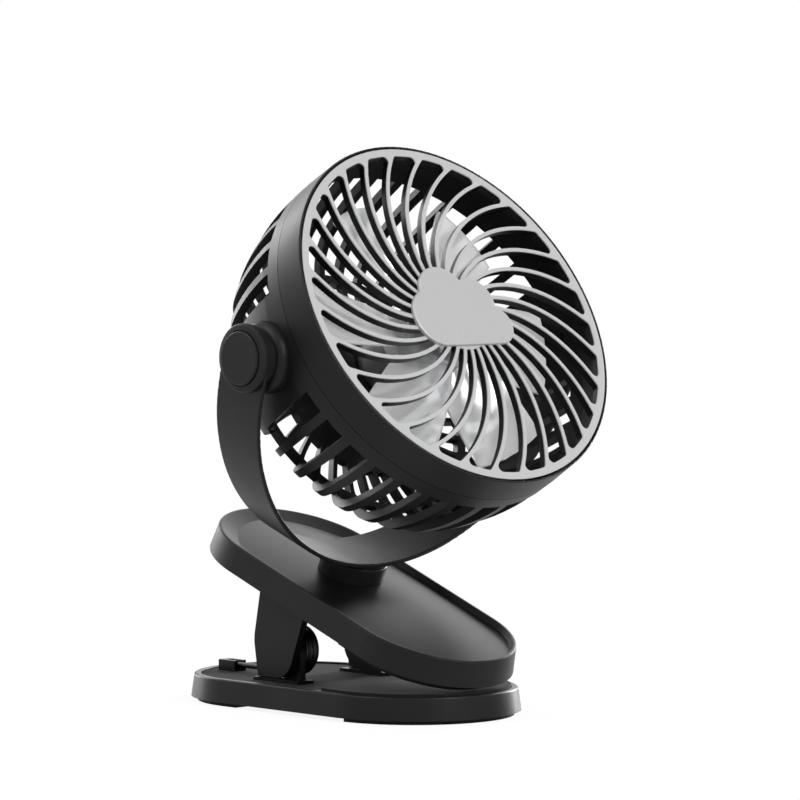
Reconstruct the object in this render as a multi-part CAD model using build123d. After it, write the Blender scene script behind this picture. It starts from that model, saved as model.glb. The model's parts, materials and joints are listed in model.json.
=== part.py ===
from build123d import *
import os
from math import atan, cos, degrees, radians, sin, sqrt

# Clip fan: a round fan head held in a half-ring yoke, on a swivel post that stands on
# the upper jaw of a spring clip. The lower jaw is a flat base that also rests on a table.
# Millimetres, +Z up, +X along the clip towards its mouth, origin under the base's centre.

# ---------------------------------------------------------------- driving dimensions
# Lower jaw, which is also the base
base_length = 150.0
base_width = 82.0
base_height = 9.0
base_draft = 1.3
base_wall = 2.0
base_roof = 1.8
base_cover_thickness = 1.6
base_rim_width = 2.6
base_recess = 0.7
base_rim_bevel = 0.3
base_edge_radius = 0.9
foot_height = 1.6
foot_inset = 2.6
front_foot_start = 36.0
rear_foot_end = -26.0

# Upper jaw
jaw_length = 145.0
jaw_width = 67.2
jaw_height = 10.4
jaw_draft = 1.4
jaw_wall = 2.0
jaw_slope = 20.3
jaw_centre_x = 6.8
jaw_cover_thickness = 1.8
dish_rim_land = 1.2
dish_rear_slope = 12.2
dish_front_slope = 2.6
dish_side_slope = 2.0
dish_depth = 2.4
dish_roof = 1.6
pillow_side_drop = 2.3
pillow_end_drop = 2.0
jaw_edge_radius = 0.8

# Clip hinge
hinge_x = -17.0
hinge_z = 21.5
hinge_pin_radius = 2.5
bracket_inner_y = 18.6
bracket_thickness = 2.8
bracket_crown_radius = 9.5
plinth_height = 1.2
plinth_rear_reach = 11.8
plinth_front_reach = 14.2
plinth_wall = 0.8
leg_thickness = 3.0
leg_bracket_gap = 1.0
leg_heel_reach = 10.6
leg_heel_drop = 10.1
leg_rear_reach = 12.9
leg_rear_rise = 4.3
leg_rear_lean = 11.2
leg_sole_end = 2.0
leg_toe_reach = 9.3
leg_toe_drop = 2.5
leg_toe_bulge = 1.9
leg_front_lean = 22.8
leg_rear_round = 14.0
leg_slot_clearance = 0.5
leg_slot_front = 4.0
spring_wire = 2.2
spring_coil_radius = 9.7
spring_turns = 3
spring_seam = 0.3
pin_flange = 1.2
pin_leg_depth = 2.2
pin_flange_radius = 4.0
anchor_length = 9.5
anchor_width = 6.0
anchor_height = 4.2
anchor_sill = 1.0
anchor_stop = 3.0
anchor_rear_x = -64.5
grip_pad_inset = 2.6
base_pad_thickness = 1.6
jaw_pad_thickness = 3.5
pad_start = 22.0

# Swivel post and yoke
post_offset = -9.2
post_radius = 13.0
post_top = 6.7
post_seat = 0.8
post_edge = 0.6
post_collar_wall = 1.0
spigot_radius = 6.0
wire_way_radius = 4.0
yoke_clearance = 1.3
yoke_thickness = 1.7
yoke_drop = 3.1
yoke_width = 25.0
yoke_edge_radius = 0.5
yoke_eye_radius = 12.5
yoke_eye_relief = 0.3
yoke_hub_height = 0.7
swivel_gap = 0.1
retainer_radius = 9.5
retainer_thickness = 1.6

# Fan head, measured from the tilt axis along the head's own axis
head_tilt = 30.4
seam_z = 17.9
seam_notch = 0.25
lip_z = 31.2
bezel_radius = 72.8
lip_taper = 0.4
lip_thickness = 0.8
bezel_wall = 1.9
shelf_inset = 3.6
shelf_thickness = 1.6
drum_taper = 0.1
drum_z = 8.0
cage_taper = 6.8
cage_z = -22.0
cage_lean = 21.8
cage_corner = 23.0
cage_wall = 3.4
slot_front_z = 11.2
slot_angle = 7.1
cage_ribs = 36
pad_half_angle = 16.4
back_ring_radius = 50.0
back_ring_width = 3.0
back_rib_width = 1.9
back_rib_turn = 4.0
back_slot_corner = 0.8
back_phase = 3.0
mount_plate_radius = 35.0

# Front grille
grille_gap = 0.6
grille_rim_width = 2.9
grille_slot_inner = 16.0
grille_ribs = 30
grille_rib_width = 1.5
grille_rib_turn = 0.71
grille_phase = 6.8
grille_depth = 3.3
grille_face_thickness = 0.5
grille_slot_corner = 1.9
hub_plate_thickness = 1.4
hub_plate_edge = 0.5
plate_left_x = -11.1
plate_left_y = -2.4
plate_left_radius = 12.1
plate_top_x = -3.6
plate_top_y = 7.0
plate_top_radius = 12.0
plate_shoulder_x = 10.6
plate_shoulder_y = 4.0
plate_shoulder_radius = 9.8
plate_right_x = 17.0
plate_right_y = -6.4
plate_right_radius = 8.2
plate_bar_x = 3.0
plate_bar_y = -8.2
plate_bar_length = 28.0
plate_bar_width = 12.7

# Tilt pivots
boss_radius = 13.6
boss_dome = 3.6
pivot_washer_radius = 11.0
pivot_washer_thickness = 2.9
knob_radius = 13.0
knob_rim = 1.5
knob_shoulder_radius = 12.3
knob_shoulder = 2.4
knob_land = 2.7
knob_groove_width = 0.5
knob_groove_floor = 2.1
knob_face_radius = 10.1
knob_thickness = 3.6
knob_bevel = 0.5
pivot_shank_radius = 3.0

# Rotor and motor
blade_count = 6
blade_phase = -8.5
blade_rise = 2.0
blade_tip_radius = 56.0
blade_hub_radius = 17.0
blade_hub_depth = 15.0
blade_hub_wall = 1.8
blade_thickness = 1.5
blade_pitch_root = 28.0
blade_pitch_tip = 13.0
blade_root_chord = 22.0
blade_tip_chord = 33.0
blade_belly = 1.5
blade_sweep = -4.0
blade_hub_edge = 2.0
blade_motor_gap = 1.0
motor_radius = 14.0
motor_length = 36.0
motor_neck_radius = 4.0
motor_neck_height = 1.4
motor_wall = 2.0
motor_edge = 1.0
motor_shaft_radius = 1.5
motor_cup_wall = 2.0
motor_cup_depth = 20.0
cap_radius = 20.0
cap_depth = 4.8
cap_wall = 1.6
cap_edge = 1.4
button_radius = 6.0
button_clearance = 0.25
button_proud = 0.9
button_edge = 0.5
button_flange = 1.0
button_flange_thickness = 0.6
button_travel = 0.8
switch_radius = 2.5
switch_board_radius = 15.5
board_thickness = 1.2

# Small fasteners and electrics
screw_radius = 1.2
screw_head_radius = 2.3
battery_length = 62.0
battery_width = 38.0
battery_thickness = 4.2
battery_corner = 2.0
battery_middle_x = 28.0
circuit_length = 24.0
circuit_width = 32.0
port_width = 9.0
port_height = 3.3
port_depth = 7.4
port_wall = 0.4
port_corner = 1.5
port_tongue = 0.7
board_edge = 1.0
board_part_height = 1.4
board_chip_size = 6.0
board_coil_size = 7.0
screw_post_wall = 0.6
screw_edge = 8.7
rear_screw_x = -38.0
front_screw_x = 46.0
jaw_screw_y = 18.0
jaw_rear_screw_x = -46.0
jaw_front_screw_x = 50.0
screw_sink = 0.9
spiral_steps = 7
fit = 0.1
running = 0.05
soft_gap = 0.3

# ---------------------------------------------------------------- sizes that follow
floor_z = foot_height
base_top = floor_z + base_height
base_floor = base_top - base_recess
roof_under = base_floor - base_roof
cover_top = floor_z + base_cover_thickness
base_inner_length = base_length - 2 * (base_draft + base_wall)
base_inner_width = base_width - 2 * (base_draft + base_wall)
base_pad_top = base_floor + base_pad_thickness

bracket_outer_y = bracket_inner_y + bracket_thickness
leg_inner_y = bracket_outer_y + leg_bracket_gap
leg_outer_y = leg_inner_y + leg_thickness
leg_middle_y = leg_inner_y + leg_thickness / 2
coil_length = spring_wire * (spring_turns + 1)
coil_outer_y = bracket_inner_y - soft_gap
coil_inner_y = coil_outer_y - coil_length
spring_leg_y = coil_inner_y + spring_wire / 2

# The closed clip brings the tips of the two pads together, which sets the jaw's height.
jaw_pad_length = jaw_length - 2 * (jaw_wall + grip_pad_inset)
jaw_pad_width = jaw_width - 2 * (jaw_wall + grip_pad_inset)
jaw_tip_drop = jaw_pad_length / 2 * sin(radians(jaw_slope))
jaw_stack = (jaw_height + jaw_pad_thickness) * cos(radians(jaw_slope))
jaw_rim_height = base_pad_top + soft_gap + jaw_tip_drop + jaw_stack
dish_under = -dish_depth - dish_roof
dish_length = jaw_length - dish_rear_slope - dish_front_slope
dish_width = jaw_width - 2 * dish_side_slope
dish_centre_x = (dish_rear_slope - dish_front_slope) / 2

# The head's round pieces nest inside the bezel.
lip_radius = bezel_radius - lip_taper
lip_inner_radius = lip_radius - lip_thickness
shelf_radius = bezel_radius - shelf_inset
drum_radius = bezel_radius - drum_taper
cage_radius = drum_radius - cage_taper
grille_radius = lip_inner_radius - grille_gap
grille_slot_outer = grille_radius - grille_rim_width

# The yoke's ring clears the circle that the head's lip sweeps when it tilts. Its middle
# lies a little below the tilt axis, so that its arms run straight up to the pivots.
head_swing = sqrt(lip_z**2 + lip_radius**2)
yoke_inner_radius = head_swing + yoke_clearance
yoke_radius = yoke_inner_radius + yoke_thickness
yoke_eye_inner = yoke_inner_radius - yoke_eye_relief
boss_face = yoke_eye_inner - fit - pivot_washer_thickness
yoke_hub_under = yoke_drop + yoke_radius + yoke_hub_height
head_reach = post_top + swivel_gap + yoke_hub_under

# The cage's rounded rear corner runs from its leaning wall to the flat back.
lean = radians(cage_lean)
corner_radius_at = cage_radius - cage_corner * cos(lean)
corner_height = cage_z + cage_corner * sin(lean)
back_z = corner_height - cage_corner
inner_back_z = back_z + cage_wall
rib_pitch = 360 / cage_ribs
motor_front_z = inner_back_z + motor_length

jaw_frame = Plane(
    origin=(jaw_centre_x, 0, jaw_rim_height),
    x_dir=(cos(radians(jaw_slope)), 0, -sin(radians(jaw_slope))),
    z_dir=(sin(radians(jaw_slope)), 0, cos(radians(jaw_slope))),
)
pivot_point = jaw_frame.from_local_coords(Vector(post_offset, 0, head_reach))
yoke_frame = Plane(origin=pivot_point, x_dir=jaw_frame.x_dir, z_dir=jaw_frame.z_dir)
head_frame = Plane(
    origin=pivot_point,
    x_dir=(0, 1, 0),
    z_dir=(cos(radians(head_tilt)), 0, sin(radians(head_tilt))),
)


def place(shape, frame):
    return frame.location * shape


def tube(outer, inner, low, high):
    ring = Circle(outer) - Circle(inner)
    return extrude(Plane.XY.offset(low) * ring, high - low)


def rod(radius, low, high):
    return extrude(Plane.XY.offset(low) * Circle(radius), high - low)


def along_y(shape, x, z):
    """Turn a piece made along Z so that it lies along Y at the given x and z."""
    return Location((x, 0, z), (-90, 0, 0)) * shape


def stadium(length, width):
    return SlotOverall(length, width)


def block(x_range, y_range, z_range):
    """A box between two places along each axis."""
    sides = [high - low for low, high in (x_range, y_range, z_range)]
    corner = Align.MIN
    return Pos(x_range[0], y_range[0], z_range[0]) * Box(*sides, align=(corner, corner, corner))


def polar(radius, angle):
    return (radius * cos(radians(angle)), radius * sin(radians(angle)))


def spun(points):
    """A solid of revolution about Z from an outline of (radius, height) points."""
    outline = make_face(Polyline([(r, 0, z) for r, z in points], close=True))
    return revolve(outline, Axis.Z)


def write(shape, name):
    shape.label = name
    export_step(shape, f"parts/{name}.step")


# ---------------------------------------------------------------- lower jaw
def beside_hinge(side, y_range):
    """The same range of distances from the middle plane, on the given side."""
    return sorted(side * y for y in y_range)


def hinge_slot(side):
    """Opening in the base's roof that a leg's heel dips into when the clip opens."""
    rear = hinge_x - leg_heel_reach - leg_slot_clearance
    front = hinge_x + leg_slot_front
    across = (leg_inner_y - leg_slot_clearance, leg_outer_y + leg_slot_clearance)
    return block((rear, front), beside_hinge(side, across), (cover_top, 2 * base_top))


def plinth(side):
    """Low platform that carries a bracket and frames the slot beside it."""
    across = (bracket_inner_y, leg_outer_y + leg_slot_clearance + plinth_wall)
    along = (hinge_x - plinth_rear_reach, hinge_x + plinth_front_reach)
    return block(along, beside_hinge(side, across), (roof_under, base_floor + plinth_height))


def bracket(side):
    """A round plate about the hinge pin, squared off in front where it meets the base."""
    crown = Pos(hinge_x, hinge_z) * Circle(bracket_crown_radius)
    upright = Pos(hinge_x, base_floor) * Rectangle(
        bracket_crown_radius, hinge_z - base_floor, align=(Align.MIN, Align.MIN)
    )
    bore = Pos(hinge_x, hinge_z) * Circle(hinge_pin_radius)
    profile = Plane.XZ * (upright + crown - bore)
    plate = extrude(profile, bracket_thickness / 2, both=True)
    return Pos(0, side * (bracket_inner_y + bracket_thickness / 2), 0) * plate


def spring_anchor():
    """A grooved block behind the hinge that holds the end of the spring's leg."""
    body = Box(
        anchor_length, anchor_width, anchor_height, align=(Align.MIN, Align.CENTER, Align.MIN)
    )
    groove_width = spring_wire + 2 * fit
    groove_depth = anchor_height - anchor_sill
    groove = Pos(anchor_stop, 0, anchor_sill) * Box(
        anchor_length, groove_width, groove_depth, align=(Align.MIN, Align.CENTER, Align.MIN)
    )
    return Pos(anchor_rear_x, -spring_leg_y, base_floor) * (body - groove)


def base_screw_places():
    across = base_inner_width / 2 - screw_edge
    return [(x, side * across) for x in (rear_screw_x, front_screw_x) for side in (-1, 1)]


def build_base_top():
    taper = degrees(atan(base_draft / base_height))
    lower = Plane.XY.offset(floor_z) * stadium(base_length, base_width)
    shell = extrude(lower, base_height, taper=taper)
    shell = fillet(shell.edges().group_by(Axis.Z)[-1], base_edge_radius)
    rim = 2 * (base_draft + base_rim_width)
    shell -= Pos(0, 0, base_floor) * extrude(
        stadium(base_length - rim, base_width - rim), 2 * base_recess
    )
    shell -= Pos(0, 0, base_top - base_rim_bevel) * extrude(
        stadium(base_length - rim, base_width - rim), 2 * base_rim_bevel, taper=-45
    )
    shell -= Pos(0, 0, floor_z) * extrude(
        stadium(base_inner_length, base_inner_width), roof_under - floor_z
    )
    for side in (-1, 1):
        shell += plinth(side) - hinge_slot(side)
        shell -= hinge_slot(side)
        shell += bracket(side)
    shell += spring_anchor()
    for x, y in base_screw_places():
        shell += Pos(x, y, 0) * screw_post(cover_top, roof_under)
    mouth = Box(2 * base_length, port_width + 2 * fit, port_height + 2 * fit)
    rear_half = Pos(-base_length, 0, 0) * mouth
    return shell - Pos(0, 0, port_middle()) * rear_half


def screw_post(low, high):
    return tube(screw_head_radius + screw_post_wall, screw_radius, low, high)


def port_middle():
    """Height of the port's centre line: the port sits on top of its circuit board."""
    return cover_top + board_thickness + port_height / 2


def build_base_cover():
    plate = Pos(0, 0, floor_z) * extrude(
        stadium(base_inner_length - 2 * fit, base_inner_width - 2 * fit), base_cover_thickness
    )
    for x, y in base_screw_places():
        plate -= Pos(x, y, 0) * rod(screw_radius, floor_z, cover_top)
        plate -= Pos(x, y, 0) * rod(screw_head_radius, floor_z, floor_z + screw_sink)
    return plate


def screw(low, high):
    """A flat-headed screw with its head at the low end."""
    return rod(screw_head_radius, low, low + screw_sink) + rod(screw_radius, low, high)


def build_base_screws():
    screws = Part()
    for x, y in base_screw_places():
        screws += Pos(x, y, 0) * screw(floor_z, roof_under)
    return screws


def foot(keep_low, keep_high):
    """The part of the base's rubber sole between two places along X."""
    inset = 2 * foot_inset
    sole = extrude(stadium(base_length - inset, base_width - inset), foot_height)
    middle = (keep_low + keep_high) / 2
    window = Pos(middle, 0, foot_height / 2) * Box(
        keep_high - keep_low, base_width, foot_height
    )
    return sole & window


def build_front_foot():
    return foot(front_foot_start, base_length / 2)


def build_rear_foot():
    return foot(-base_length / 2, rear_foot_end)


def build_battery():
    pack = Box(battery_length, battery_width, battery_thickness)
    pack = fillet(pack.edges().filter_by(Axis.Z), battery_corner)
    return Pos(battery_middle_x, 0, cover_top + battery_thickness / 2) * pack


def build_circuit_board():
    """The charging board behind the port, with a chip and a coil on it."""
    board = Box(circuit_length, circuit_width, board_thickness)
    lift = (board_thickness + board_part_height) / 2
    chip = Pos(circuit_length / 6, -circuit_width / 5, lift) * Box(
        board_chip_size, board_chip_size, board_part_height
    )
    coil = Pos(circuit_length / 6, circuit_width / 5, lift) * Box(
        board_coil_size, board_coil_size, board_part_height
    )
    middle = board_rear_x() + circuit_length / 2
    return Pos(middle, 0, cover_top + board_thickness / 2) * (board + chip + coil)


def board_rear_x():
    """Rear edge of the charging board, clear of the base's rounded rear wall."""
    turn = base_inner_width / 2
    corner = sqrt(turn**2 - (circuit_width / 2) ** 2)
    return -base_inner_length / 2 + turn - corner + board_edge


def build_charging_port():
    shell = Box(port_depth, port_width, port_height)
    shell = fillet(shell.edges().filter_by(Axis.X), port_corner)
    mouth = Box(port_depth, port_width - 2 * port_wall, port_height - 2 * port_wall)
    mouth = fillet(mouth.edges().filter_by(Axis.X), port_corner - port_wall)
    shell -= Pos(-port_wall, 0, 0) * mouth
    shell += Box(port_depth, port_width / 2, port_tongue)
    outer_x = -base_length / 2 + base_draft
    return Pos(outer_x + port_depth / 2, 0, port_middle()) * shell


def build_base_grip_pad():
    """Soft sheet on the front of the base's recess, inside its rim."""
    inset = 2 * (base_draft + base_rim_width + fit)
    pad = Pos(0, 0, base_floor) * extrude(
        stadium(base_length - inset, base_width - inset), base_pad_thickness
    )
    return pad - behind(pad_start, base_length)


def behind(x, length):
    """A block that covers everything behind a place along X."""
    return Pos(x, 0, 0) * Box(
        length, length, length, align=(Align.MAX, Align.CENTER, Align.CENTER)
    )


# ---------------------------------------------------------------- clip hinge
def mirrored(build, x, z):
    """Two copies of a piece made along +Z, laid along +Y and -Y at the given x and z."""
    return along_y(build, x, z) + mirror(along_y(build, x, z), Plane.XZ)


def build_hinge_pins():
    """Two stub pins, each through a bracket into its leg, with a flange inside the clip."""
    pin = rod(hinge_pin_radius, bracket_inner_y - pin_flange, leg_inner_y + pin_leg_depth)
    pin += rod(pin_flange_radius, bracket_inner_y - pin_flange, bracket_inner_y)
    return mirrored(pin, hinge_x, hinge_z)


def build_torsion_spring():
    """Closed coil inside the left bracket, with a leg back to its anchor block."""
    coil = tube(
        spring_coil_radius, spring_coil_radius - spring_wire, coil_inner_y, coil_outer_y
    )
    for turn in range(1, spring_turns + 1):
        seam = Pos(0, 0, coil_inner_y + turn * spring_wire)
        coil -= seam * Torus(spring_coil_radius, spring_seam)
    return mirror(along_y(coil, hinge_x, hinge_z), Plane.XZ) + spring_leg()


def spring_leg():
    """The straight wire from the foot of the coil back to its anchor block."""
    start = Vector(hinge_x, -spring_leg_y, hinge_z - spring_coil_radius + spring_wire / 2)
    end_z = base_floor + anchor_sill + spring_wire / 2 + fit
    end = Vector(anchor_rear_x + anchor_stop + fit, -spring_leg_y, end_z)
    path = end - start
    wire = Plane(origin=start, z_dir=path.normalized()) * Circle(spring_wire / 2)
    return extrude(wire, path.length)


# ---------------------------------------------------------------- upper jaw (jaw frame)
def jaw_screw_places():
    ends = (jaw_rear_screw_x, jaw_front_screw_x)
    return [(x, side * jaw_screw_y) for x in ends for side in (-1, 1)]


def dish():
    """The hollow in the jaw's top: a sloping edge, widest at the rear, round a low pillow."""
    land = 2 * dish_rim_land
    mouth = stadium(jaw_length - land, jaw_width - land)
    bottom = Pos(dish_centre_x, 0, -dish_depth) * stadium(dish_length, dish_width)
    return loft([bottom, mouth]) - Pos(dish_centre_x, 0, 0) * pillow()


def pillow():
    """A long barrel whose top touches the rim's height and falls away on all sides."""
    half_width = dish_width / 2
    half_length = dish_length / 2 + dish_rear_slope
    drop = pillow_side_drop
    radius = (half_width**2 + drop**2) / (2 * drop)
    crest = ThreePointArc(
        (-half_length, 0, -pillow_end_drop), (0, 0, 0), (half_length, 0, -pillow_end_drop)
    )
    sides = Polyline(
        [
            (half_length, 0, -pillow_end_drop),
            (half_length, 0, -radius),
            (-half_length, 0, -radius),
            (-half_length, 0, -pillow_end_drop),
        ]
    )
    return revolve(make_face([crest, sides]), Axis((0, 0, -radius), (1, 0, 0)))


def build_jaw_top():
    taper = -degrees(atan(jaw_draft / jaw_height))
    shell = extrude(stadium(jaw_length, jaw_width), -jaw_height, taper=taper)
    shell = fillet(shell.edges().group_by(Axis.Z)[-1], jaw_edge_radius)
    shell -= dish()
    hollow = stadium(jaw_length - 2 * jaw_wall, jaw_width - 2 * jaw_wall)
    shell -= Pos(0, 0, -jaw_height) * extrude(hollow, jaw_height + dish_under)
    for x, y in jaw_screw_places():
        shell += Pos(x, y, 0) * screw_post(jaw_cover_thickness - jaw_height, dish_under)
    shell -= Pos(post_offset, 0, 0) * rod(post_radius + fit, -post_seat, post_top)
    return shell - Pos(post_offset, 0, 0) * rod(post_collar_radius(), dish_under, 0)


def post_collar_radius():
    return spigot_radius + post_collar_wall


def under_jaw(x):
    """World height just inside the jaw's underside plate, above a place along X."""
    slope = radians(jaw_slope)
    rim = jaw_rim_height - (x - jaw_centre_x) * sin(slope) / cos(slope)
    return rim + (jaw_cover_thickness - jaw_height) / cos(slope)


def leg_profile():
    """Side outline of a leg, in world X and Z, running up past the jaw's underside."""
    toe = (hinge_x + leg_toe_reach, hinge_z - leg_toe_drop)
    heel = (hinge_x - leg_heel_reach, hinge_z - leg_heel_drop)
    sole = (hinge_x - leg_sole_end, hinge_z - leg_heel_drop)
    back = (hinge_x - leg_rear_reach, hinge_z + leg_rear_rise)
    rise = under_jaw(back[0]) - back[1]
    back_top = (back[0] + rise * sin(radians(leg_rear_lean)), back[1] + rise)
    rise = under_jaw(toe[0]) - toe[1]
    front_top = (toe[0] + rise * sin(radians(leg_front_lean)), toe[1] + rise)
    middle = (
        (sole[0] + toe[0]) / 2 + leg_toe_bulge,
        (sole[1] + toe[1]) / 2 - leg_toe_bulge,
    )
    outline = make_face(
        [
            Polyline([sole, heel, back, back_top, front_top, toe]),
            ThreePointArc(toe, middle, sole),
        ]
    )
    corner = outline.vertices().sort_by_distance((back[0], back[1], 0))[0]
    return fillet(corner, leg_rear_round)


def build_jaw_cover():
    """The jaw's underside plate with its two hinge legs."""
    inset = 2 * (jaw_wall + fit)
    plate = Pos(0, 0, -jaw_height) * extrude(
        stadium(jaw_length - inset, jaw_width - inset), jaw_cover_thickness
    )
    for x, y in jaw_screw_places():
        plate -= Pos(x, y, -jaw_height) * rod(screw_radius, 0, jaw_cover_thickness)
        plate -= Pos(x, y, -jaw_height) * rod(screw_head_radius, 0, screw_sink)
    plate = place(plate, jaw_frame)
    inside = Pos(0, 0, jaw_cover_thickness / 2 - jaw_height) * Box(
        jaw_length, jaw_width, jaw_length, align=(Align.CENTER, Align.CENTER, Align.MIN)
    )
    leg = extrude(Plane.XZ * leg_profile(), leg_thickness / 2, both=True)
    for side in (-1, 1):
        plate += Pos(0, side * leg_middle_y, 0) * leg - place(inside, jaw_frame)
    bore = rod(hinge_pin_radius + running, 0, leg_inner_y + pin_leg_depth + fit)
    return plate - mirrored(bore, hinge_x, hinge_z)


def build_jaw_screws():
    screws = Part()
    for x, y in jaw_screw_places():
        screws += Pos(x, y, 0) * screw(-jaw_height, dish_under)
    return place(screws, jaw_frame)


def build_jaw_grip_pad():
    """Soft sheet under the front of the jaw."""
    pad = Pos(0, 0, -jaw_height) * extrude(
        stadium(jaw_pad_length, jaw_pad_width), -jaw_pad_thickness
    )
    return place(pad - behind(pad_start, jaw_length), jaw_frame)


def build_swivel_post():
    """The round post let into the pillow that the yoke turns on, with a collar below it."""
    bore = spigot_radius + running
    post = tube(post_radius, bore, -post_seat, post_top)
    post = fillet(post.edges().group_by(Axis.Z)[-1].sort_by(SortBy.LENGTH)[-1], post_edge)
    post += tube(post_collar_radius(), bore, dish_under, -post_seat)
    return place(Pos(post_offset, 0, 0) * post, jaw_frame)


# ---------------------------------------------------------------- yoke (yoke frame)
def yoke_strap():
    """The thin half-ring band with two straight arms, its long edges rounded."""
    ring = Circle(yoke_radius) - Circle(yoke_inner_radius)
    lower_half = Rectangle(2 * yoke_radius, yoke_radius, align=(Align.CENTER, Align.MAX))
    profile = Pos(0, -yoke_drop) * (ring & lower_half)
    for side in (-1, 1):
        middle = side * (yoke_inner_radius + yoke_thickness / 2)
        profile += Pos(middle, -yoke_drop / 2) * Rectangle(yoke_thickness, yoke_drop)
    strap = extrude(Plane.YZ * profile, yoke_width / 2, both=True)
    sides = strap.edges().group_by(Axis.X)
    edges = [e for e in sides[0] + sides[-1] if e.length > 1.5 * yoke_thickness]
    return fillet(edges, yoke_edge_radius)


def build_yoke():
    """The band with two flat eyes, a hub disc and a spigot, hollow from below, under it."""
    outside = -yoke_drop - yoke_radius
    strap = yoke_strap()
    hub = rod(post_radius - post_edge, -yoke_hub_under, outside + yoke_thickness)
    strap += hub - extrude(
        Plane.YZ * Pos(0, -yoke_drop) * Circle(yoke_inner_radius), yoke_width, both=True
    )
    strap += rod(spigot_radius, -spigot_reach(), outside)
    strap -= rod(wire_way_radius, -spigot_reach(), outside)
    strap += mirrored(rod(yoke_eye_radius, yoke_eye_inner, yoke_radius), 0, 0)
    strap -= mirrored(rod(yoke_eye_radius + fit, 0, yoke_eye_inner), 0, 0)
    strap -= mirrored(rod(pivot_shank_radius + running, 0, 2 * yoke_radius), 0, 0)
    return place(strap, yoke_frame)


def spigot_reach():
    """How far the spigot's end lies from the tilt axis: just through its retainer."""
    return head_reach - dish_under + swivel_gap + retainer_thickness


def build_swivel_retainer():
    """Ring pressed on the spigot's end, under the dish, that keeps the yoke down."""
    reach = spigot_reach()
    ring = tube(retainer_radius, spigot_radius, -reach, retainer_thickness - reach)
    return place(ring, yoke_frame)


# ---------------------------------------------------------------- fan head (head frame)
def build_front_bezel():
    """Front ring of the head, with a thin rounded lip and an inner shelf for the grille."""
    shelf_z = lip_z - grille_depth
    lip_half = lip_thickness / 2
    wall_radius = bezel_radius - bezel_wall
    crest = ThreePointArc(
        (lip_radius, 0, lip_z - lip_half),
        (lip_radius - lip_half, 0, lip_z),
        (lip_inner_radius, 0, lip_z - lip_half),
    )
    outside = Line((bezel_radius, 0, seam_z), (lip_radius, 0, lip_z - lip_half))
    inside = Polyline(
        [
            (lip_inner_radius, 0, lip_z - lip_half),
            (lip_inner_radius, 0, shelf_z),
            (shelf_radius, 0, shelf_z),
            (shelf_radius, 0, shelf_z - shelf_thickness),
            (wall_radius, 0, shelf_z - shelf_thickness - (wall_radius - shelf_radius)),
            (wall_radius, 0, seam_z),
            (bezel_radius, 0, seam_z),
        ]
    )
    return place(revolve(make_face([outside, crest, inside]), Axis.Z), head_frame)


def spiral_side(start, lean, width_sign, phase, half_width, ends):
    """Points along one side of a rib that turns as it runs inward between two radii."""
    outer, inner = ends
    points = []
    for step in range(spiral_steps + 1):
        radius = outer + (inner - outer) * step / spiral_steps
        slant = radians(lean) * radius
        half_angle = degrees(half_width * sqrt(1 + slant**2) / radius)
        turn = lean * (start - radius)
        points.append(polar(radius, phase + turn + width_sign * half_angle))
    return points


def spiral_slot(lean, pitch, rib_width, ends, corner):
    """The opening between two neighbouring turning ribs, with rounded outer corners."""
    outer, inner = ends
    near = spiral_side(outer, lean, 1, 0, rib_width / 2, ends)
    far = spiral_side(outer, lean, -1, pitch, rib_width / 2, ends)
    inner_angle = pitch / 2 + lean * (outer - inner)
    top = ThreePointArc(near[0], polar(outer, pitch / 2), far[0])
    bottom = ThreePointArc(near[-1], polar(inner, inner_angle), far[-1])
    face = make_face([Spline(near), top, Spline(far), bottom])
    corners = face.vertices().sort_by(lambda v: -(v.X**2) - v.Y**2)
    return fillet(corners[:2], corner)


def grille_outline():
    ends = (grille_slot_outer, grille_slot_inner)
    pitch = 360 / grille_ribs
    slot = spiral_slot(grille_rib_turn, pitch, grille_rib_width, ends, grille_slot_corner)
    slots = PolarLocations(0, grille_ribs, start_angle=grille_phase) * slot
    return Circle(grille_radius) - slots


def build_grille_body():
    """Deep black ribs of the front grille, under the silver face."""
    depth = grille_depth - grille_face_thickness
    low = lip_z - grille_depth
    body = extrude(Plane.XY.offset(low) * grille_outline(), depth)
    return place(body, head_frame)


def build_grille_face():
    """Silver face of the front grille: the same ring and ribs, thin and bright."""
    low = lip_z - grille_face_thickness
    face = extrude(Plane.XY.offset(low) * grille_outline(), grille_face_thickness)
    return place(face, head_frame)


def build_hub_plate():
    """Plain plate with a lobed, cloud-like outline over the centre of the grille."""
    outline = Pos(plate_left_x, plate_left_y) * Circle(plate_left_radius)
    outline += Pos(plate_top_x, plate_top_y) * Circle(plate_top_radius)
    outline += Pos(plate_shoulder_x, plate_shoulder_y) * Circle(plate_shoulder_radius)
    outline += Pos(plate_right_x, plate_right_y) * Circle(plate_right_radius)
    outline += Pos(plate_bar_x, plate_bar_y) * Rectangle(plate_bar_length, plate_bar_width)
    plate = extrude(Plane.XY.offset(lip_z) * outline, hub_plate_thickness)
    plate = fillet(plate.edges().group_by(Axis.Z)[-1], hub_plate_edge)
    return place(plate, head_frame)


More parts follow.
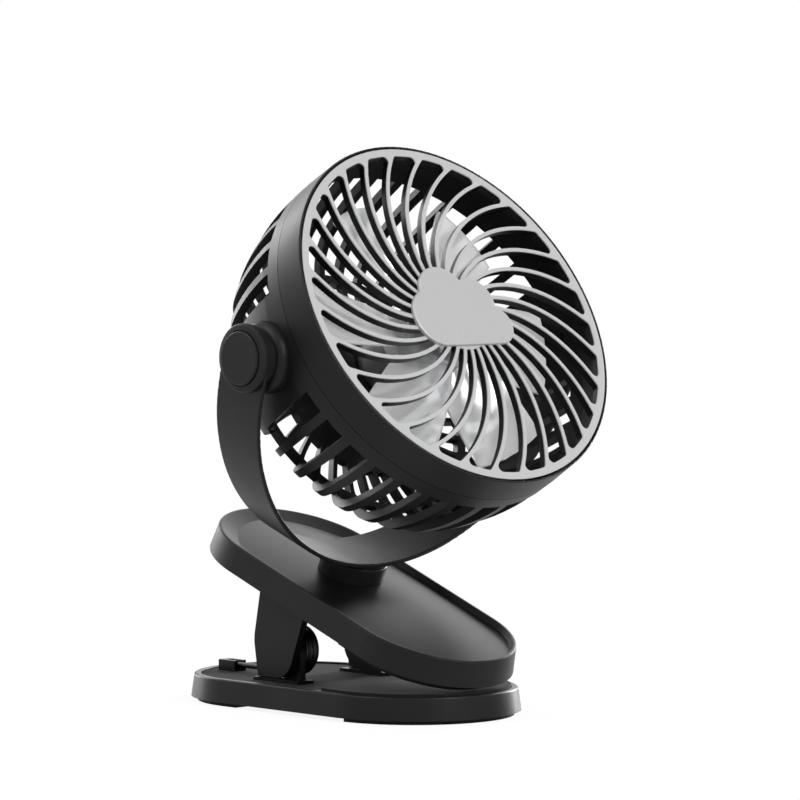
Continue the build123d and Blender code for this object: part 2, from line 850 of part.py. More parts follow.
def cage_profile():
    """Half section of the drum and cage wall, from the seam round to the back plate."""
    halfway = radians((cage_lean + 90) / 2)

    def corner_point(angle, inset):
        reach = cage_corner - inset
        return (corner_radius_at + reach * cos(angle), 0, corner_height - reach * sin(angle))

    def wall(inset, start):
        """The leaning wall, the rounded corner and the flat back, on one side of the wall."""
        side = Line((start - inset, 0, seam_z), (drum_radius - inset, 0, drum_z))
        cage_start = corner_point(lean, inset)
        shoulder = TangentArc(
            cage_start, (drum_radius - inset, 0, drum_z), tangent=(sin(lean), 0, cos(lean))
        )
        corner = ThreePointArc(
            cage_start, corner_point(halfway, inset), corner_point(radians(90), inset)
        )
        flat = Line(corner_point(radians(90), inset), (0, 0, back_z + inset))
        return [side, shoulder, corner, flat]

    outer = wall(0, bezel_radius)
    inner = wall(cage_wall, bezel_radius - bezel_wall + cage_wall)
    seam = Line((bezel_radius, 0, seam_z), (bezel_radius - bezel_wall, 0, seam_z))
    centre = Line((0, 0, back_z), (0, 0, inner_back_z))
    return make_face(outer + inner + [seam, centre])


def side_slot():
    """Wedge that cuts one opening through the drum wall and round the rear corner."""
    inner = back_ring_radius + back_ring_width / 2
    outer = drum_radius + cage_wall
    half = slot_angle / 2
    near = [polar(inner, -half), polar(outer, -half), polar(outer, half), polar(inner, half)]
    wedge = make_face(Polyline(near, close=True))
    low = back_z - cage_wall
    return Pos(0, 0, low) * extrude(wedge, slot_front_z - low)


def back_slot():
    """Curved opening in the flat back, between the ring and the motor's mounting plate."""
    ends = (back_ring_radius - back_ring_width / 2, mount_plate_radius)
    lean_rate = -back_rib_turn / (ends[0] - ends[1])
    slot = spiral_slot(lean_rate, rib_pitch, back_rib_width, ends, back_slot_corner)
    return Pos(0, 0, back_z - cage_wall) * extrude(slot, 3 * cage_wall)


def slot_angles():
    """Directions of the side openings, which leave a solid pad round each pivot."""
    clear = pad_half_angle + slot_angle / 2
    angles = [index * rib_pitch for index in range(cage_ribs)]
    return [a for a in angles if min(a, abs(a - 180), 360 - a) > clear - fit]


def pivot_boss(side):
    """Domed boss on the drum wall that takes the pivot bolt."""
    boss = rod(boss_radius, drum_radius - cage_wall, boss_face)
    boss = fillet(boss.edges().group_by(Axis.Z)[-1], boss_dome)
    return Rot(0, side * 90, 0) * boss


def build_rear_housing():
    shell = revolve(cage_profile(), Axis.Z)
    cutters = [Rot(0, 0, angle) * side_slot() for angle in slot_angles()]
    back = back_slot()
    cutters += [Rot(0, 0, back_phase + i * rib_pitch) * back for i in range(cage_ribs)]
    shell = Part() + shell.cut(*cutters)
    cup_wall = motor_radius + motor_cup_wall
    shell += tube(cup_wall, motor_radius + fit, inner_back_z, inner_back_z + motor_cup_depth)
    for side in (-1, 1):
        shell += pivot_boss(side)
        shell -= Rot(0, side * 90, 0) * rod(pivot_shank_radius, 0, boss_face)
    shell -= rod(wire_way_radius, back_z, inner_back_z)
    outside = bezel_radius + bezel_wall
    shell -= tube(outside, bezel_radius - seam_notch, seam_z - seam_notch, seam_z)
    return place(shell, head_frame)


def build_pivot_washers():
    ring = tube(
        pivot_washer_radius,
        pivot_shank_radius,
        boss_face,
        boss_face + pivot_washer_thickness,
    )
    return place(Rot(0, 90, 0) * ring + Rot(0, -90, 0) * ring, head_frame)


def pivot_knob(side):
    """Round knob whose shank passes through the yoke's eye into the drum's boss."""
    root = drum_radius - cage_wall
    inner = yoke_radius + fit
    outer = inner + knob_thickness
    knob = spun(
        [
            (0, root),
            (pivot_shank_radius, root),
            (pivot_shank_radius, inner),
            (knob_radius - knob_bevel, inner),
            (knob_radius, inner + knob_bevel),
            (knob_radius, inner + knob_rim),
            (knob_shoulder_radius, inner + knob_shoulder),
            (knob_face_radius + knob_groove_width, inner + knob_land),
            (knob_face_radius + knob_groove_width, inner + knob_groove_floor),
            (knob_face_radius, inner + knob_groove_floor),
            (knob_face_radius, outer - knob_bevel),
            (knob_face_radius - knob_bevel, outer),
            (0, outer),
        ]
    )
    return place(Rot(0, side * 90, 0) * knob, head_frame)


# ---------------------------------------------------------------- motor and rotor
def build_motor():
    can = rod(motor_radius, inner_back_z, motor_front_z)
    can = fillet(can.edges().group_by(Axis.Z)[-1], motor_edge)
    can += rod(motor_neck_radius, motor_front_z, motor_front_z + motor_neck_height)
    bore = rod(
        motor_shaft_radius + running, motor_tail(), motor_front_z + motor_neck_height
    )
    return place(can - bore, head_frame)


def motor_tail():
    """Bottom of the motor's bore, just inside the back of its can."""
    return inner_back_z + motor_wall


def build_motor_shaft():
    shaft = rod(motor_shaft_radius, motor_tail() + fit, blade_top() - blade_hub_wall)
    return place(shaft, head_frame)


def blade_low():
    """The blades' hub clears the motor's neck in front."""
    return motor_front_z + motor_neck_height + blade_motor_gap


def blade_top():
    return blade_low() + blade_hub_depth


def blade_section(radius, chord, pitch, sweep):
    """One rounded section across a blade, at a place along its span."""
    middle_z = blade_low() + blade_hub_depth / 2 + blade_rise
    out = (cos(radians(sweep)), sin(radians(sweep)))
    plane = Plane(
        origin=(radius * out[0], radius * out[1], middle_z),
        x_dir=(-out[1], out[0], 0),
        z_dir=(out[0], out[1], 0),
    )
    return plane * Rot(0, 0, pitch) * SlotOverall(chord, blade_thickness)


def blade():
    """One broad blade: steep and narrow at the hub, wider and flatter towards its tip."""
    root = blade_hub_radius - blade_hub_wall
    middle = (root + blade_tip_radius) / 2
    middle_chord = (blade_root_chord + blade_tip_chord) / 2 + blade_belly
    middle_pitch = (blade_pitch_root + blade_pitch_tip) / 2
    wing = loft(
        [
            blade_section(root, blade_root_chord, blade_pitch_root, 0),
            blade_section(middle, middle_chord, middle_pitch, blade_sweep / 2),
            blade_section(blade_tip_radius, blade_tip_chord, blade_pitch_tip, blade_sweep),
        ]
    )
    inside = rod(blade_hub_radius - blade_hub_wall / 2, blade_low(), blade_top())
    return wing & rod(blade_tip_radius, blade_low(), blade_top()) - inside


def build_fan_blade():
    low = blade_low()
    high = blade_top()
    hub = rod(blade_hub_radius, low, high)
    hub = fillet(hub.edges().group_by(Axis.Z)[-1], blade_hub_edge)
    hub -= rod(blade_hub_radius - blade_hub_wall, low, high - blade_hub_wall)
    hub += rod(motor_shaft_radius + blade_hub_wall, low, high - blade_hub_wall)
    one = blade()
    for index in range(blade_count):
        hub += Rot(0, 0, blade_phase + index * 360 / blade_count) * one
    hub -= rod(motor_shaft_radius, low, high - blade_hub_wall)
    return place(hub, head_frame)


# ---------------------------------------------------------------- rear cap and button
def build_rear_cap():
    outer = back_z - cap_depth
    cap = rod(cap_radius, outer, back_z)
    cap = fillet(cap.edges().group_by(Axis.Z)[0], cap_edge)
    cap -= rod(cap_radius - cap_wall, outer + cap_wall, back_z)
    cap -= rod(button_radius + button_clearance, outer, back_z)
    return place(cap, head_frame)


def build_switch_board():
    """Round board on the cage's back, with a wire hole and the switch under the button."""
    low = back_z - board_thickness
    board = rod(switch_board_radius, low, back_z)
    board -= Pos(switch_board_radius / 2, 0, 0) * rod(screw_radius, low, back_z)
    pressed = button_inside() + button_flange_thickness + button_travel
    board += rod(switch_radius, pressed + fit, low)
    return place(board, head_frame)


def button_inside():
    """Height of the face where the button's flange meets the inside of the cap."""
    return back_z - cap_depth + cap_wall + fit


def build_power_button():
    """Round button in the middle of the rear cap, with a flange behind the cap's wall."""
    inside = button_inside()
    button = rod(button_radius, inside - cap_wall - button_proud, inside)
    button = fillet(button.edges().group_by(Axis.Z)[0], button_edge)
    button += rod(button_radius + button_flange, inside, inside + button_flange_thickness)
    return place(button, head_frame)


# ---------------------------------------------------------------- write every sub-part
os.makedirs("parts", exist_ok=True)

write(build_base_top(), "base_top_shell")
write(build_base_cover(), "base_bottom_cover")
write(build_base_screws(), "base_screws")
write(build_front_foot(), "front_foot")
write(build_rear_foot(), "rear_foot")
write(build_battery(), "battery_pack")
write(build_circuit_board(), "charging_board")
write(build_charging_port(), "charging_port")
write(build_base_grip_pad(), "base_grip_pad")
write(build_hinge_pins(), "hinge_pins")
write(build_torsion_spring(), "torsion_spring")

write(place(build_jaw_top(), jaw_frame), "jaw_top_shell")
write(build_jaw_cover(), "jaw_bottom_shell")
write(build_jaw_screws(), "jaw_screws")
write(build_jaw_grip_pad(), "jaw_grip_pad")
write(build_swivel_post(), "swivel_post")

write(build_yoke(), "yoke")
write(build_swivel_retainer(), "swivel_retainer")

write(build_front_bezel(), "front_bezel")
write(build_grille_body(), "grille_ribs")
write(build_grille_face(), "grille_face")
write(build_hub_plate(), "hub_plate")
write(build_rear_housing(), "rear_housing")
write(build_pivot_washers(), "pivot_washers")
write(pivot_knob(-1), "pivot_knob_left")
write(pivot_knob(1), "pivot_knob_right")
write(build_motor(), "motor")
write(build_rear_cap(), "rear_cap")
write(build_switch_board(), "switch_board")

write(build_motor_shaft(), "motor_shaft")
write(build_fan_blade(), "fan_blade")
write(build_power_button(), "power_button")
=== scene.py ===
import bpy
import json
from math import cos, radians, sin
from mathutils import Matrix, Vector


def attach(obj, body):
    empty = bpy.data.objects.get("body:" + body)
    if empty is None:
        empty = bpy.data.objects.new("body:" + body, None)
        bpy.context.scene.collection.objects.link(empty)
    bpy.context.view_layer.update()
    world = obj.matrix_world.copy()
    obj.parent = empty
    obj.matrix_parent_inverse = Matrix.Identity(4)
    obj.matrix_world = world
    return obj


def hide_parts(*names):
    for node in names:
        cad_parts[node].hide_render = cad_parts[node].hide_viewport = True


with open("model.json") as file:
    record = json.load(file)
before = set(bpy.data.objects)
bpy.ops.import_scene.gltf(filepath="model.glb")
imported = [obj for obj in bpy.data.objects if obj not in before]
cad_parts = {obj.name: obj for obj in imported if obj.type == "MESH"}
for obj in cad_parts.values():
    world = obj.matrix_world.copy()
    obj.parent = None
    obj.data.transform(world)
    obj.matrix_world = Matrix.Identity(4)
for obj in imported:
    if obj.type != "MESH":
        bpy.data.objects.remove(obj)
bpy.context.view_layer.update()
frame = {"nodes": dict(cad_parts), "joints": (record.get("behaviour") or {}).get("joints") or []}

# ------------------------------------------------------------------ studio
# A white table top under the fan and an even white surround, as for a catalogue picture.
# One small bright lamp faces the grille, a broad one stands high on the left, and three
# behind the fan draw light lines along its black edges.
white = (1.0, 1.0, 1.0, 1.0)
surround_light = (0.42, 0.42, 0.43, 1.0)
table_shade = (0.86, 0.86, 0.86, 1.0)
table_roughness = 0.9
table_size = 12.0
shadow_near = 0.09
shadow_far = 0.20
glow_near = 0.90
glow_far = 1.0

scene = bpy.context.scene
scene.view_settings.view_transform = "Standard"
bpy.ops.object.select_all(action="DESELECT")


def math_node(nodes, operation):
    """A node that does one sum."""
    node = nodes.new("ShaderNodeMath")
    node.operation = operation
    return node


def value_range(nodes, steps):
    """A node that turns one value into another, given what two values become."""
    (from_low, to_low), (from_high, to_high) = steps.items()
    span = nodes.new("ShaderNodeMapRange")
    span.inputs["From Min"].default_value = from_low
    span.inputs["From Max"].default_value = from_high
    span.inputs["To Min"].default_value = to_low
    span.inputs["To Max"].default_value = to_high
    return span


def seen_directly(nodes, links):
    """1 for what the camera, a glossy surface or clear plastic sees, else 0."""
    path = nodes.new("ShaderNodeLightPath")
    camera_or_gloss = math_node(nodes, "MAXIMUM")
    any_seen = math_node(nodes, "MAXIMUM")
    links.new(path.outputs["Is Camera Ray"], camera_or_gloss.inputs[0])
    links.new(path.outputs["Is Glossy Ray"], camera_or_gloss.inputs[1])
    links.new(camera_or_gloss.outputs[0], any_seen.inputs[0])
    links.new(path.outputs["Is Transmission Ray"], any_seen.inputs[1])
    return any_seen.outputs[0]


def lit_or_seen(nodes, links, lighting, showing, share):
    """Mixes what lights the fan with what shows, by the share that shows."""
    mix = nodes.new("ShaderNodeMixShader")
    links.new(share, mix.inputs["Fac"])
    links.new(lighting, mix.inputs[1])
    links.new(showing, mix.inputs[2])
    return mix.outputs[0]


world = bpy.data.worlds.new("studio_surround")
scene.world = world
world.use_nodes = True
nodes, links = world.node_tree.nodes, world.node_tree.links
nodes.clear()
shown = nodes.new("ShaderNodeBackground")
shown.inputs["Color"].default_value = white
light = nodes.new("ShaderNodeBackground")
light.inputs["Color"].default_value = surround_light
share = seen_directly(nodes, links)
mixed = lit_or_seen(nodes, links, light.outputs[0], shown.outputs[0], share)
links.new(mixed, nodes.new("ShaderNodeOutputWorld").inputs["Surface"])

# The table shows white, and lets a little of its own shading through close to the fan.
bpy.ops.mesh.primitive_plane_add(size=table_size, location=(0, 0, 0))
table_top = bpy.context.object
table_top.name = "table_top"
paper = bpy.data.materials.new("white_table")
paper.use_nodes = True
nodes, links = paper.node_tree.nodes, paper.node_tree.links
surface = nodes["Principled BSDF"]
surface.inputs["Base Color"].default_value = table_shade
surface.inputs["Roughness"].default_value = table_roughness
surface.inputs["Specular IOR Level"].default_value = 0.0
glow = nodes.new("ShaderNodeEmission")
glow.inputs["Color"].default_value = white
place = nodes.new("ShaderNodeTexCoord")
distance = nodes.new("ShaderNodeVectorMath")
distance.operation = "LENGTH"
fade = value_range(nodes, {shadow_near: glow_near, shadow_far: glow_far})
faded_share = math_node(nodes, "MULTIPLY")
share = faded_share.outputs[0]
links.new(place.outputs["Object"], distance.inputs[0])
links.new(distance.outputs["Value"], fade.inputs["Value"])
links.new(seen_directly(nodes, links), faded_share.inputs[0])
links.new(fade.outputs["Result"], faded_share.inputs[1])
mixed = lit_or_seen(nodes, links, surface.outputs[0], glow.outputs[0], share)
links.new(mixed, nodes["Material Output"].inputs["Surface"])
table_top.data.materials.append(paper)

# The camera stands in front and to the left, almost level with the fan, on a long lens.
quarter_turn = radians(90)
camera_azimuth = radians(47.034)
camera_rise = radians(3.078)
camera_distance = 1.900
camera_aim_right = 0.017717
camera_aim_up = 0.118419
camera_lens = 220.68
camera_sensor = 36.0
camera_near = 0.1
camera_far = 50.0

camera_right = Vector((cos(camera_azimuth), sin(camera_azimuth), 0))
camera_back = Vector(
    (
        sin(camera_azimuth) * cos(camera_rise),
        -cos(camera_azimuth) * cos(camera_rise),
        sin(camera_rise),
    )
)
camera_up = camera_back.cross(camera_right)
camera_aim = camera_right * camera_aim_right + camera_up * camera_aim_up
bpy.ops.object.camera_add(
    location=camera_aim + camera_back * camera_distance,
    rotation=(quarter_turn - camera_rise, 0, camera_azimuth),
)
camera = bpy.context.object
camera.name = "picture_camera"
camera.data.lens = camera_lens
camera.data.sensor_width = camera_sensor
camera.data.clip_start = camera_near
camera.data.clip_end = camera_far
scene.camera = camera

fan_middle = Vector((0.02, 0.0, 0.11))


def softbox(name, side, height, front, width, length, watts):
    """A soft lamp placed from the fan's middle, in metres as the camera sees it."""
    where = fan_middle + camera_right * side + camera_up * height + camera_back * front
    turn = (where - fan_middle).to_track_quat("Z", "Y").to_euler()
    bpy.ops.object.light_add(type="AREA", location=where, rotation=turn)
    lamp = bpy.context.object
    lamp.name = name
    lamp.data.shape = "RECTANGLE"
    lamp.data.size = width
    lamp.data.size_y = length
    lamp.data.energy = watts


softbox("lamp_grille", side=0.94, height=0.75, front=1.05, width=0.45, length=0.45, watts=17.0)
softbox("lamp_left", side=-1.1, height=1.3, front=0.5, width=0.9, length=0.9, watts=15.0)
softbox("lamp_rim_left", side=-0.85, height=0.36, front=-1.0, width=0.7, length=0.8, watts=11.0)
softbox("lamp_rim_right", side=0.85, height=0.35, front=-1.15, width=0.4, length=0.8, watts=26.0)
softbox("lamp_behind", side=0.1, height=0.6, front=-1.2, width=0.8, length=0.8, watts=2.6)

# ------------------------------------------------------------------ clip base
# The lower jaw: a flat moulded shell of black satin plastic with a raised rim, closed
# from below by a screwed plate. Its moulds leave a fine grain and slightly uneven gloss,
# and the floor inside the rim is left dull.
clouds_per_metre = 42.0
cloud_detail = 3.0
cloud_tones_from = 0.35
cloud_tones_to = 0.65
cloud_gloss_from = 0.3
cloud_gloss_to = 0.7
pores_per_metre = 2600.0
pore_detail = 2.0
pore_depth = 0.00003
barely_facing = 0.86
fully_facing = 0.96
up = Vector((0, 0, 1))
recess_floor_height = 0.0102


def tone(shade, tint=(1.0, 1.0, 1.01)):
    """A colour: one shade times its shares of red, green and blue."""
    return (*(shade * part for part in tint), 1)


def patterned(name, texture, settings, tones, roughnesses, tone_by="Fac", roughness_by="Fac"):
    """A finish whose tone and roughness follow one pattern on the piece's own coordinates.

    tones and roughnesses each say what two values of the pattern give.
    """
    finish = bpy.data.materials.new(name)
    finish.use_nodes = True
    nodes, links = finish.node_tree.nodes, finish.node_tree.links
    shader = nodes["Principled BSDF"]
    place = nodes.new("ShaderNodeTexCoord")
    pattern = nodes.new(texture)
    for setting, value in settings.items():
        pattern.inputs[setting].default_value = value
    shades = nodes.new("ShaderNodeValToRGB")
    for stop, (position, colour) in zip(shades.color_ramp.elements, tones.items()):
        stop.position = position
        stop.color = colour
    spread = value_range(nodes, roughnesses)
    links.new(place.outputs["Object"], pattern.inputs["Vector"])
    links.new(pattern.outputs[tone_by], shades.inputs["Fac"])
    links.new(shades.outputs["Color"], shader.inputs["Base Color"])
    links.new(pattern.outputs[roughness_by], spread.inputs["Value"])
    links.new(spread.outputs["Result"], shader.inputs["Roughness"])
    return finish


def moulded_plastic(name, deep, pale, roughness, grain, specular=0.16, tint=(1.0, 1.0, 1.02)):
    """Plastic in two close shades, in soft clouds, with a fine grain from the mould."""
    smoother = roughness - 0.04
    rougher = roughness + 0.05
    plastic = patterned(
        name,
        "ShaderNodeTexNoise",
        {"Scale": clouds_per_metre, "Detail": cloud_detail},
        tones={cloud_tones_from: tone(deep, tint), cloud_tones_to: tone(pale, tint)},
        roughnesses={cloud_gloss_from: smoother, cloud_gloss_to: rougher},
    )
    nodes, links = plastic.node_tree.nodes, plastic.node_tree.links
    shader = nodes["Principled BSDF"]
    shader.inputs["Specular IOR Level"].default_value = specular
    pores = nodes.new("ShaderNodeTexNoise")
    pores.inputs["Scale"].default_value = pores_per_metre
    pores.inputs["Detail"].default_value = pore_detail
    relief = nodes.new("ShaderNodeBump")
    relief.inputs["Strength"].default_value = grain
    relief.inputs["Distance"].default_value = pore_depth
    links.new(nodes["Texture Coordinate"].outputs["Object"], pores.inputs["Vector"])
    links.new(pores.outputs["Fac"], relief.inputs["Height"])
    links.new(relief.outputs["Normal"], shader.inputs["Normal"])
    return plastic


def finish_faces(plastic, facing, roughness, below=1.0):
    """Gives the faces that look one way, under a height in metres, their own roughness."""
    nodes, links = plastic.node_tree.nodes, plastic.node_tree.links
    shader = nodes["Principled BSDF"]
    moulded = shader.inputs["Roughness"].links[0].from_socket
    place = nodes["Texture Coordinate"]
    turned = nodes.new("ShaderNodeVectorMath")
    turned.operation = "DOT_PRODUCT"
    turned.inputs[1].default_value = facing
    chosen = value_range(nodes, {barely_facing: 0.0, fully_facing: 1.0})
    height = nodes.new("ShaderNodeSeparateXYZ")
    under = math_node(nodes, "LESS_THAN")
    under.inputs[1].default_value = below
    here = math_node(nodes, "MULTIPLY")
    blend = nodes.new("ShaderNodeMix")
    blend.inputs["B"].default_value = roughness
    links.new(place.outputs["Normal"], turned.inputs[0])
    links.new(turned.outputs["Value"], chosen.inputs["Value"])
    links.new(place.outputs["Object"], height.inputs[0])
    links.new(height.outputs["Z"], under.inputs[0])
    links.new(chosen.outputs["Result"], here.inputs[0])
    links.new(under.outputs[0], here.inputs[1])
    links.new(moulded, blend.inputs["A"])
    links.new(here.outputs[0], blend.inputs["Factor"])
    links.new(blend.outputs["Result"], shader.inputs["Roughness"])


def dress(finish, *parts):
    """Gives parts that came from the model their finish."""
    for part in parts:
        for slot in frame["nodes"][part].material_slots:
            slot.material = finish


base_plastic = moulded_plastic(
    "base_black_plastic", deep=0.005, pale=0.007, roughness=0.34, grain=0.3, specular=0.14
)
finish_faces(base_plastic, facing=up, roughness=0.85, below=recess_floor_height)
dress(base_plastic, "base_top_shell")
cover_plastic = moulded_plastic(
    "cover_black_plastic", deep=0.006, pale=0.008, roughness=0.55, grain=0.5
)
dress(cover_plastic, "base_bottom_cover")

# ------------------------------------------------------------------ rubber feet and pads
# Soft black rubber, moulded dull. The two feet stand under the base, and a pad lines each
# jaw where it grips what the clip holds.
rubber = moulded_plastic("dull_rubber", deep=0.005, pale=0.009, roughness=0.78, grain=0.9)
dress(rubber, "front_foot", "rear_foot", "base_grip_pad", "jaw_grip_pad")

# ------------------------------------------------------------------ steel fittings
# Hinge pins, swivel retainer, motor shaft, charging socket and motor can: turned, drawn or
# rolled steel, bright or lightly oiled, with a fine mottle in its tone and gloss.
mottle_detail = 4.0
mottle_tones_from = 0.3
mottle_tones_to = 0.7
mottle_darkness = 0.8


def steel(name, shade, roughness, mottles_per_metre):
    """Turned, drawn or rolled steel with a fine mottle."""
    smoother = roughness - 0.05
    rougher = roughness + 0.12
    metal = patterned(
        name,
        "ShaderNodeTexNoise",
        {"Scale": mottles_per_metre, "Detail": mottle_detail},
        tones={mottle_tones_from: tone(shade * mottle_darkness), mottle_tones_to: tone(shade)},
        roughnesses={0.0: smoother, 1.0: rougher},
    )
    metal.node_tree.nodes["Principled BSDF"].inputs["Metallic"].default_value = 1.0
    return metal


pin_steel = steel("pin_steel", shade=0.30, roughness=0.32, mottles_per_metre=700.0)
dress(pin_steel, "hinge_pins", "swivel_retainer", "motor_shaft")
socket_steel = steel("socket_steel", shade=0.62, roughness=0.25, mottles_per_metre=500.0)
dress(socket_steel, "charging_port")
can_steel = steel("motor_can_steel", shade=0.20, roughness=0.38, mottles_per_metre=300.0)
dress(can_steel, "motor")

# ------------------------------------------------------------------ clip spring
# One torsion spring of blackened steel wire, closely wound inside the left bracket, that
# pushes the jaws together. Its straight leg lies back in a grooved block on the base.
joints = {joint["name"]: joint for joint in frame["joints"]}
hinge = Vector(joints["clip_open"]["pos_m"])
wire_radius = 0.0011
wire_sides = 16
wire_tip = 0.0003
tip_taper = 0.7
coil_middle_radius = 0.0086
coil_start_y = -0.0106
coil_turns = 3
coil_steps = 40
leg_end = Vector((-0.0613, coil_start_y, 0.0122))
short_end = Vector((0.0050, 0, 0.0002))
weld_distance = 0.000001
wire_smooth_angle = radians(40)

bpy.ops.mesh.primitive_circle_add(vertices=wire_sides, radius=wire_radius)
spring = bpy.context.object
spring.name = "wound_spring"
bpy.ops.object.mode_set(mode="EDIT")
bpy.ops.transform.rotate(value=quarter_turn, orient_axis="Y", center_override=(0, 0, 0))
bpy.ops.transform.translate(value=(0, 0, -coil_middle_radius))
bpy.ops.object.mode_set(mode="OBJECT")
wind = spring.modifiers.new("wind", "SCREW")
wind.axis = "Y"
wind.iterations = coil_turns
wind.screw_offset = -2 * wire_radius
wind.steps = coil_steps
wind.render_steps = coil_steps
bpy.ops.object.modifier_apply(modifier=wind.name)
bpy.ops.transform.translate(value=(hinge.x, coil_start_y, hinge.z))
bpy.ops.object.transform_apply(location=True)


def choose_wire_end(wire, end):
    """Selects the open ring of a wire that lies nearest to one end of its winding."""
    bpy.ops.object.mode_set(mode="EDIT")
    bpy.ops.mesh.select_all(action="DESELECT")
    bpy.ops.mesh.select_mode(type="VERT")
    bpy.ops.mesh.select_non_manifold(extend=False)
    bpy.ops.object.mode_set(mode="OBJECT")
    for corner in wire.data.vertices:
        if (corner.co - end).length > 2 * wire_radius:
            corner.select = False
    for edge in wire.data.edges:
        edge.select = all(wire.data.vertices[v].select for v in edge.vertices)
    bpy.ops.object.mode_set(mode="EDIT")


def draw_out(wire, end, way):
    """Draws one wire end out along a vector and closes it with a slightly tapered tip."""
    tip = Vector((wire_tip if way.x > 0 else -wire_tip, 0, 0))
    choose_wire_end(wire, end)
    bpy.ops.mesh.extrude_region_move(TRANSFORM_OT_translate={"value": way})
    bpy.ops.mesh.extrude_region_move(TRANSFORM_OT_translate={"value": tip})
    bpy.ops.transform.resize(value=(1, tip_taper, tip_taper))
    bpy.ops.mesh.edge_face_add()
    bpy.ops.object.mode_set(mode="OBJECT")


coil_length = 2 * wire_radius * coil_turns
coil_start = Vector((hinge.x, coil_start_y, hinge.z - coil_middle_radius))
coil_end = coil_start - Vector((0, coil_length, 0))
draw_out(spring, coil_start, leg_end - coil_start)
draw_out(spring, coil_end, short_end)
bpy.ops.object.mode_set(mode="EDIT")
bpy.ops.mesh.select_all(action="SELECT")
bpy.ops.mesh.remove_doubles(threshold=weld_distance)
bpy.ops.mesh.normals_make_consistent(inside=False)
bpy.ops.object.mode_set(mode="OBJECT")
bpy.ops.object.shade_smooth_by_angle(angle=wire_smooth_angle)
black_steel = steel("blackened_spring_steel", shade=0.05, roughness=0.36, mottles_per_metre=900.0)
spring.data.materials.append(black_steel)
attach(spring, "base")
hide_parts("torsion_spring")

# ------------------------------------------------------------------ electrics
# A flat battery in blue shrink wrap and the charging board lie in the base, and the switch
# board sits behind the motor. Both boards are laminate under green lacquer.
wrap_blue = (0.12, 0.35, 1.6)
lacquer_green = (0.35, 2.6, 0.7)
wrap = moulded_plastic(
    "battery_wrap_blue", deep=0.10, pale=0.12, roughness=0.3, grain=0.2, tint=wrap_blue
)
dress(wrap, "battery_pack")
lacquer = moulded_plastic(
    "board_lacquer_green", deep=0.03, pale=0.04, roughness=0.35, grain=0.3, tint=lacquer_green
)
dress(lacquer, "charging_board", "switch_board")

# ------------------------------------------------------------------ jaw
# The upper jaw: a shallow tray with a crowned floor, smoother on top than at its sides,
# over an underside plate whose two legs are hung on the hinge pins.
swivel_place = Vector(joints["yoke_swivel"]["pos_m"])
jaw_up = Vector(joints["yoke_swivel"]["axis"])
jaw_plastic = moulded_plastic(
    "jaw_black_plastic", deep=0.004, pale=0.006, roughness=0.5, grain=0.3, specular=0.17
)
finish_faces(jaw_plastic, facing=jaw_up, roughness=0.36)
dress(jaw_plastic, "jaw_top_shell", "jaw_bottom_shell")

# ------------------------------------------------------------------ post and yoke
# The yoke is one thin moulded band with an eye at each end. It turns on a round post of
# the same plastic, which is let into the jaw's floor.
yoke_plastic = moulded_plastic(
    "yoke_black_plastic", deep=0.005, pale=0.007, roughness=0.42, grain=0.4
)
dress(yoke_plastic, "swivel_post", "yoke")

# ------------------------------------------------------------------ screws
# Eight small screws of dark steel close the base and the jaw from below. A cross is
# pressed into the face of each flat head.
head_radius = 0.00229
head_depth = 0.0009
head_sides = 32
head_edge = 0.00015
head_edge_steps = 2
thread_radius = 0.0012
cross_span = 0.0028
cross_width = 0.0006
cross_depth = 0.0006
cross_turns = (radians(45), radians(135))
screw_smooth_angle = radians(30)
screw_steel = steel("screw_steel", shade=0.30, roughness=0.35, mottles_per_metre=800.0)


def cross_screw(length):
    """One screw standing on the face of its head, which looks down."""
    bpy.ops.mesh.primitive_cylinder_add(
        vertices=head_sides,
        radius=head_radius,
        depth=head_depth,
        location=(0, 0, head_depth / 2),
    )
    screw = bpy.context.object
    bpy.ops.object.transform_apply(location=True)
    bpy.ops.object.mode_set(mode="EDIT")
    bpy.ops.mesh.select_all(action="DESELECT")
    bpy.ops.object.mode_set(mode="OBJECT")
    for face in screw.data.polygons:
        face.select = face.normal.dot(up) > fully_facing
    bpy.ops.object.mode_set(mode="EDIT")
    bpy.ops.mesh.select_mode(type="FACE")
    bpy.ops.mesh.inset(thickness=head_radius - thread_radius)
    bpy.ops.mesh.extrude_region_move(
        TRANSFORM_OT_translate={"value": (0, 0, length - head_depth)}
    )
    bpy.ops.object.mode_set(mode="OBJECT")
    edge = screw.modifiers.new("edge", "BEVEL")
    edge.width = head_edge
    edge.segments = head_edge_steps
    edge.limit_method = "ANGLE"
    bpy.ops.object.modifier_apply(modifier=edge.name)
    for turn in cross_turns:
        bpy.ops.mesh.primitive_cube_add(
            size=1,
            location=(0, 0, 0),
            rotation=(0, 0, turn),
            scale=(cross_span, cross_width, 2 * cross_depth),
        )
        punch = bpy.context.object
        press = screw.modifiers.new("press", "BOOLEAN")
        press.operation = "DIFFERENCE"
        press.object = punch
        bpy.context.view_layer.objects.active = screw
        bpy.ops.object.modifier_apply(modifier=press.name)
        bpy.data.objects.remove(punch, do_unlink=True)
    return screw


def drive(name, length, spots, body, node):
    """Sets a screw at each spot, given as the place and way of its head's face."""
    master = cross_screw(length)
    bpy.ops.object.select_all(action="DESELECT")
    for spot in spots:
        screw = master.copy()
        screw.data = master.data.copy()
        screw.data.transform(spot)
        bpy.context.collection.objects.link(screw)
        screw.select_set(True)
        bpy.context.view_layer.objects.active = screw
    bpy.ops.object.join()
    screws = bpy.context.object
    screws.name = name
    bpy.data.objects.remove(master, do_unlink=True)
    bpy.ops.object.shade_smooth_by_angle(angle=screw_smooth_angle)
    screws.data.materials.append(screw_steel)
    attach(screws, body)
    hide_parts(node)


